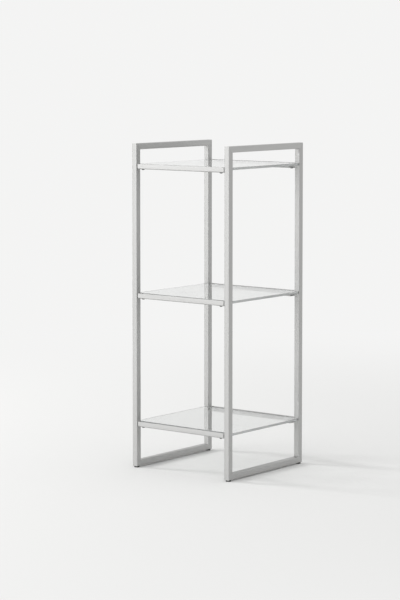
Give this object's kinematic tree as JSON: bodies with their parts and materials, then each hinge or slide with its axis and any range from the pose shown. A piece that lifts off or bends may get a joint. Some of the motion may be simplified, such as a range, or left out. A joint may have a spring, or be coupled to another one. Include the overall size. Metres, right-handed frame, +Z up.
{
  "type": "bathroom shelf unit",
  "caption": "Tall, slim, free-standing etagere: two side frames of square steel tube carry glass shelves on folded steel rails, for towels and toiletries.",
  "frame": {"origin": "on the floor under the feet, at the middle of the square footprint", "axes": "+Z up, +Y from the front rails to the rear rails, +X to the right seen from the front"},
  "size_m": [0.305, 0.305, 0.8142],
  "materials": {
    "steel": "satin brushed stainless steel",
    "screw_steel": "turned steel, blackened, much darker than the frame",
    "glass": "clear float glass with ground and polished edges",
    "clear_silicone": "clear soft silicone",
    "foot_plastic": "matt black plastic"
  },
  "bodies": {
    "root": {"left_front_post": "steel", "left_rear_post": "steel", "left_top_bar": "steel", "left_bottom_bar": "steel", "right_front_post": "steel", "right_rear_post": "steel", "right_top_bar": "steel", "right_bottom_bar": "steel", "front_left_foot": "foot_plastic", "front_right_foot": "foot_plastic", "rear_left_foot": "foot_plastic", "rear_right_foot": "foot_plastic", "lower_front_rail": "steel", "lower_rear_rail": "steel", "lower_pane": "glass", "lower_front_left_lug": "steel", "lower_front_right_lug": "steel", "lower_rear_left_lug": "steel", "lower_rear_right_lug": "steel", "lower_front_left_screw": "screw_steel", "lower_front_right_screw": "screw_steel", "lower_rear_left_screw": "screw_steel", "lower_rear_right_screw": "screw_steel", "lower_front_left_pad": "clear_silicone", "lower_front_right_pad": "clear_silicone", "lower_rear_left_pad": "clear_silicone", "lower_rear_right_pad": "clear_silicone", "middle_front_rail": "steel", "middle_rear_rail": "steel", "middle_pane": "glass", "middle_front_left_lug": "steel", "middle_front_right_lug": "steel", "middle_rear_left_lug": "steel", "middle_rear_right_lug": "steel", "middle_front_left_screw": "screw_steel", "middle_front_right_screw": "screw_steel", "middle_rear_left_screw": "screw_steel", "middle_rear_right_screw": "screw_steel", "middle_front_left_pad": "clear_silicone", "middle_front_right_pad": "clear_silicone", "middle_rear_left_pad": "clear_silicone", "middle_rear_right_pad": "clear_silicone", "upper_front_rail": "steel", "upper_rear_rail": "steel", "upper_pane": "glass", "upper_front_left_lug": "steel", "upper_front_right_lug": "steel", "upper_rear_left_lug": "steel", "upper_rear_right_lug": "steel", "upper_front_left_screw": "screw_steel", "upper_front_right_screw": "screw_steel", "upper_rear_left_screw": "screw_steel", "upper_rear_right_screw": "screw_steel", "upper_front_left_pad": "clear_silicone", "upper_front_right_pad": "clear_silicone", "upper_rear_left_pad": "clear_silicone", "upper_rear_right_pad": "clear_silicone"}
  },
  "joints": []
}
